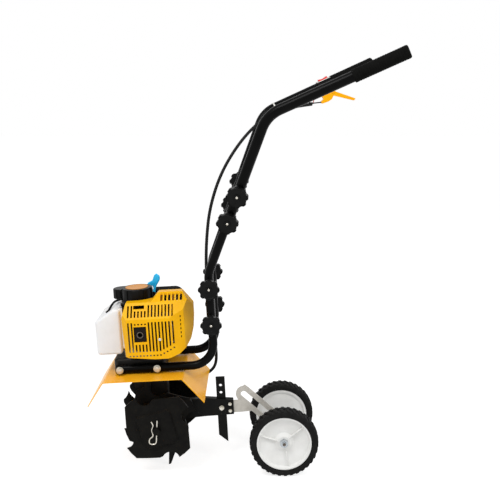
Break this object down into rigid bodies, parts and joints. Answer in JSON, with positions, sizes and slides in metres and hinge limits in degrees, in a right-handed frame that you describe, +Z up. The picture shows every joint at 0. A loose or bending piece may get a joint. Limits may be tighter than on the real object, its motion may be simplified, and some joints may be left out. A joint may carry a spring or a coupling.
{
  "type": "garden tiller",
  "caption": "Walk-behind petrol garden tiller with slotted engine shroud, sheet guard, bladed tines, drag stake, rear transport wheels and splayed folding handlebars.",
  "frame": {"origin": "on the ground, under the middle of the whole machine's bounding box", "axes": "+X towards the operator, +Y to the machine's right as the operator stands, +Z up from the ground that the tyres and the lowest tine tips rest on"},
  "size_m": [0.762, 0.5928, 1.0742],
  "materials": {
    "orange_sheet": "gloss",
    "yellow_shroud": "gloss",
    "black_plastic": "satin",
    "white_tank": "translucent",
    "white_disc": "satin",
    "tyre_rubber": "matte",
    "grip_rubber": "matte",
    "black_tube": "gloss",
    "black_steel": "satin",
    "black_cable": "satin",
    "cast_gearbox": "cast",
    "cast_engine": "cast",
    "bright_steel": "zinc plated",
    "bearing_bronze": "machined",
    "plug_ceramic": "glazed",
    "blue_plastic": "gloss",
    "orange_plastic": "gloss",
    "red_plastic": "gloss"
  },
  "bodies": {
    "chassis": {"guard": "orange_sheet", "gearbox_left": "cast_gearbox", "gearbox_right": "cast_gearbox", "bearings": "bearing_bronze", "clutch_housing": "cast_gearbox", "crankcase": "cast_engine", "cylinder": "cast_engine", "spark_plug": "plug_ceramic", "muffler": "black_steel", "shroud": "yellow_shroud", "starter_housing": "black_plastic", "fuel_tank": "white_tank", "fuel_line": "black_cable", "carburettor": "cast_engine", "air_filter_base": "black_plastic", "air_filter_cover": "black_plastic", "lower_tube_left": "black_tube", "lower_tube_right": "black_tube", "flange_bolts": "bright_steel", "stake_holder": "black_steel", "drag_stake": "black_steel", "wheel_plate": "bright_steel", "throttle_cable": "black_cable"},
    "rotor": {"tine_shaft": "bright_steel", "worm_wheel": "bearing_bronze", "inner_tine_left": "black_steel", "inner_tine_right": "black_steel", "outer_tine_left": "black_steel", "outer_tine_right": "black_steel", "hairpin_clips": "bright_steel"},
    "worm": {"worm_shaft": "bright_steel", "clutch_drum": "bright_steel"},
    "crank": {"crankshaft": "bright_steel", "flywheel": "cast_engine", "clutch_shoes": "bright_steel"},
    "starter_grip": {"starter_grip": "black_plastic"},
    "choke_lever": {"choke_lever": "blue_plastic"},
    "fuel_cap": {"fuel_cap": "black_plastic"},
    "carriage": {"wheel_axle": "bright_steel"},
    "wheel_left": {"wheel_disc_left": "white_disc", "tyre_left": "tyre_rubber"},
    "wheel_right": {"wheel_disc_right": "white_disc", "tyre_right": "tyre_rubber"},
    "mid_left": {"mid_tube_left": "black_tube"},
    "mid_right": {"mid_tube_right": "black_tube"},
    "bar_left": {"handlebar_left": "black_tube", "grip_left": "grip_rubber"},
    "bar_right": {"handlebar_right": "black_tube", "grip_right": "grip_rubber", "control_clamp": "black_plastic"},
    "throttle_lever": {"throttle_lever": "orange_plastic"},
    "switch_rocker": {"switch_rocker": "red_plastic"},
    "knob_lower_pivot_left": {"knob_lower_pivot_left": "black_plastic"},
    "knob_lower_pivot_right": {"knob_lower_pivot_right": "black_plastic"},
    "knob_lower_lock_left": {"knob_lower_lock_left": "black_plastic"},
    "knob_lower_lock_right": {"knob_lower_lock_right": "black_plastic"},
    "knob_upper_pivot_left": {"knob_upper_pivot_left": "black_plastic"},
    "knob_upper_pivot_right": {"knob_upper_pivot_right": "black_plastic"},
    "knob_upper_lock_left": {"knob_upper_lock_left": "black_plastic"},
    "knob_upper_lock_right": {"knob_upper_lock_right": "black_plastic"}
  },
  "joints": [
    {"name": "tine_spin", "type": "hinge", "parent": "chassis", "child": "rotor", "pos_m": [-0.20845, 0, 0.1278], "axis": [0, 1, 0], "continuous": true},
    {"name": "worm_spin", "type": "hinge", "parent": "chassis", "child": "worm", "pos_m": [-0.24939, 0, 0.12562], "axis": [-0.0532, 0, 0.9986], "continuous": true},
    {"name": "crank_spin", "type": "hinge", "parent": "chassis", "child": "crank", "pos_m": [-0.24939, 0, 0.12562], "axis": [-0.0532, 0, 0.9986], "continuous": true},
    {"name": "starter_pull", "type": "slide", "parent": "chassis", "child": "starter_grip", "axis": [0, 1, 0], "range_m": [0, 0.35], "stiffness_N_per_m": 8, "springref_m": -0.3},
    {"name": "choke_turn", "type": "hinge", "parent": "chassis", "child": "choke_lever", "pos_m": [-0.23192, 0.075, 0.43699], "axis": [0, 1, 0], "range_deg": [0, 40]},
    {"name": "fuel_cap_turn", "type": "hinge", "parent": "chassis", "child": "fuel_cap", "pos_m": [-0.31359, 0.06, 0.42863], "axis": [-0.0532, 0, 0.9986], "continuous": true},
    {"name": "wheel_height", "type": "slide", "parent": "chassis", "child": "carriage", "axis": [-0.7505, 0, 0.6609], "range_m": [0, 0.125]},
    {"name": "wheel_spin_left", "type": "hinge", "parent": "carriage", "child": "wheel_left", "pos_m": [0.11607, 0, 0.089], "axis": [0, 1, 0], "continuous": true},
    {"name": "wheel_spin_right", "type": "hinge", "parent": "carriage", "child": "wheel_right", "pos_m": [0.11607, 0, 0.089], "axis": [0, 1, 0], "continuous": true},
    {"name": "lower_fold_left", "type": "hinge", "parent": "chassis", "child": "mid_left", "pos_m": [-0.06871, -0.0923, 0.39961], "axis": [0, 1, 0], "range_deg": [0, 60]},
    {"name": "upper_fold_left", "type": "hinge", "parent": "mid_left", "child": "bar_left", "pos_m": [-0.02131, -0.1317, 0.67756], "axis": [0.0814, 0.9709, 0.2254], "range_deg": [0, 72]},
    {"name": "lower_fold_right", "type": "hinge", "parent": "chassis", "child": "mid_right", "pos_m": [-0.06871, 0.0923, 0.39961], "axis": [0, 1, 0], "range_deg": [0, 60], "deforming": ["throttle_cable"]},
    {"name": "upper_fold_right", "type": "hinge", "parent": "mid_right", "child": "bar_right", "pos_m": [-0.02131, 0.1317, 0.67756], "axis": [-0.0814, 0.9709, -0.2254], "range_deg": [0, 72], "deforming": ["throttle_cable"]},
    {"name": "throttle_pull", "type": "hinge", "parent": "bar_right", "child": "throttle_lever", "pos_m": [0.26029, 0.25751, 0.97632], "axis": [0.1871, -0.9823, 0.01], "range_deg": [0, 26], "stiffness_Nm_per_rad": 0.5, "springref_deg": -14.32},
    {"name": "switch_rock", "type": "hinge", "parent": "bar_right", "child": "switch_rocker", "pos_m": [0.23105, 0.25232, 1.01381], "axis": [-0.1871, 0.9823, -0.01], "range_deg": [0, 8]},
    {"name": "knob_turn_lower_pivot_left", "type": "hinge", "parent": "chassis", "child": "knob_lower_pivot_left", "pos_m": [-0.06871, -0.0923, 0.39961], "axis": [0, -1, 0], "continuous": true},
    {"name": "knob_turn_lower_lock_left", "type": "hinge", "parent": "chassis", "child": "knob_lower_lock_left", "pos_m": [-0.0736, -0.0923, 0.49148], "axis": [0, -1, 0], "continuous": true},
    {"name": "knob_turn_upper_pivot_left", "type": "hinge", "parent": "mid_left", "child": "knob_upper_pivot_left", "pos_m": [-0.02131, -0.1317, 0.67756], "axis": [-0.0814, -0.9709, -0.2254], "continuous": true},
    {"name": "knob_turn_upper_lock_left", "type": "hinge", "parent": "mid_left", "child": "knob_upper_lock_left", "pos_m": [0.0019, -0.14857, 0.74184], "axis": [-0.0814, -0.9709, -0.2254], "continuous": true},
    {"name": "knob_turn_lower_pivot_right", "type": "hinge", "parent": "chassis", "child": "knob_lower_pivot_right", "pos_m": [-0.06871, 0.0923, 0.39961], "axis": [0, 1, 0], "continuous": true},
    {"name": "knob_turn_lower_lock_right", "type": "hinge", "parent": "chassis", "child": "knob_lower_lock_right", "pos_m": [-0.0736, 0.0923, 0.49148], "axis": [0, 1, 0], "continuous": true},
    {"name": "knob_turn_upper_pivot_right", "type": "hinge", "parent": "mid_right", "child": "knob_upper_pivot_right", "pos_m": [-0.02131, 0.1317, 0.67756], "axis": [-0.0814, 0.9709, -0.2254], "continuous": true},
    {"name": "knob_turn_upper_lock_right", "type": "hinge", "parent": "mid_right", "child": "knob_upper_lock_right", "pos_m": [0.0019, 0.14857, 0.74184], "axis": [-0.0814, 0.9709, -0.2254], "continuous": true}
  ],
  "couplings": [
    {"joint": "worm_spin", "follows": "tine_spin", "ratio": -30}
  ]
}
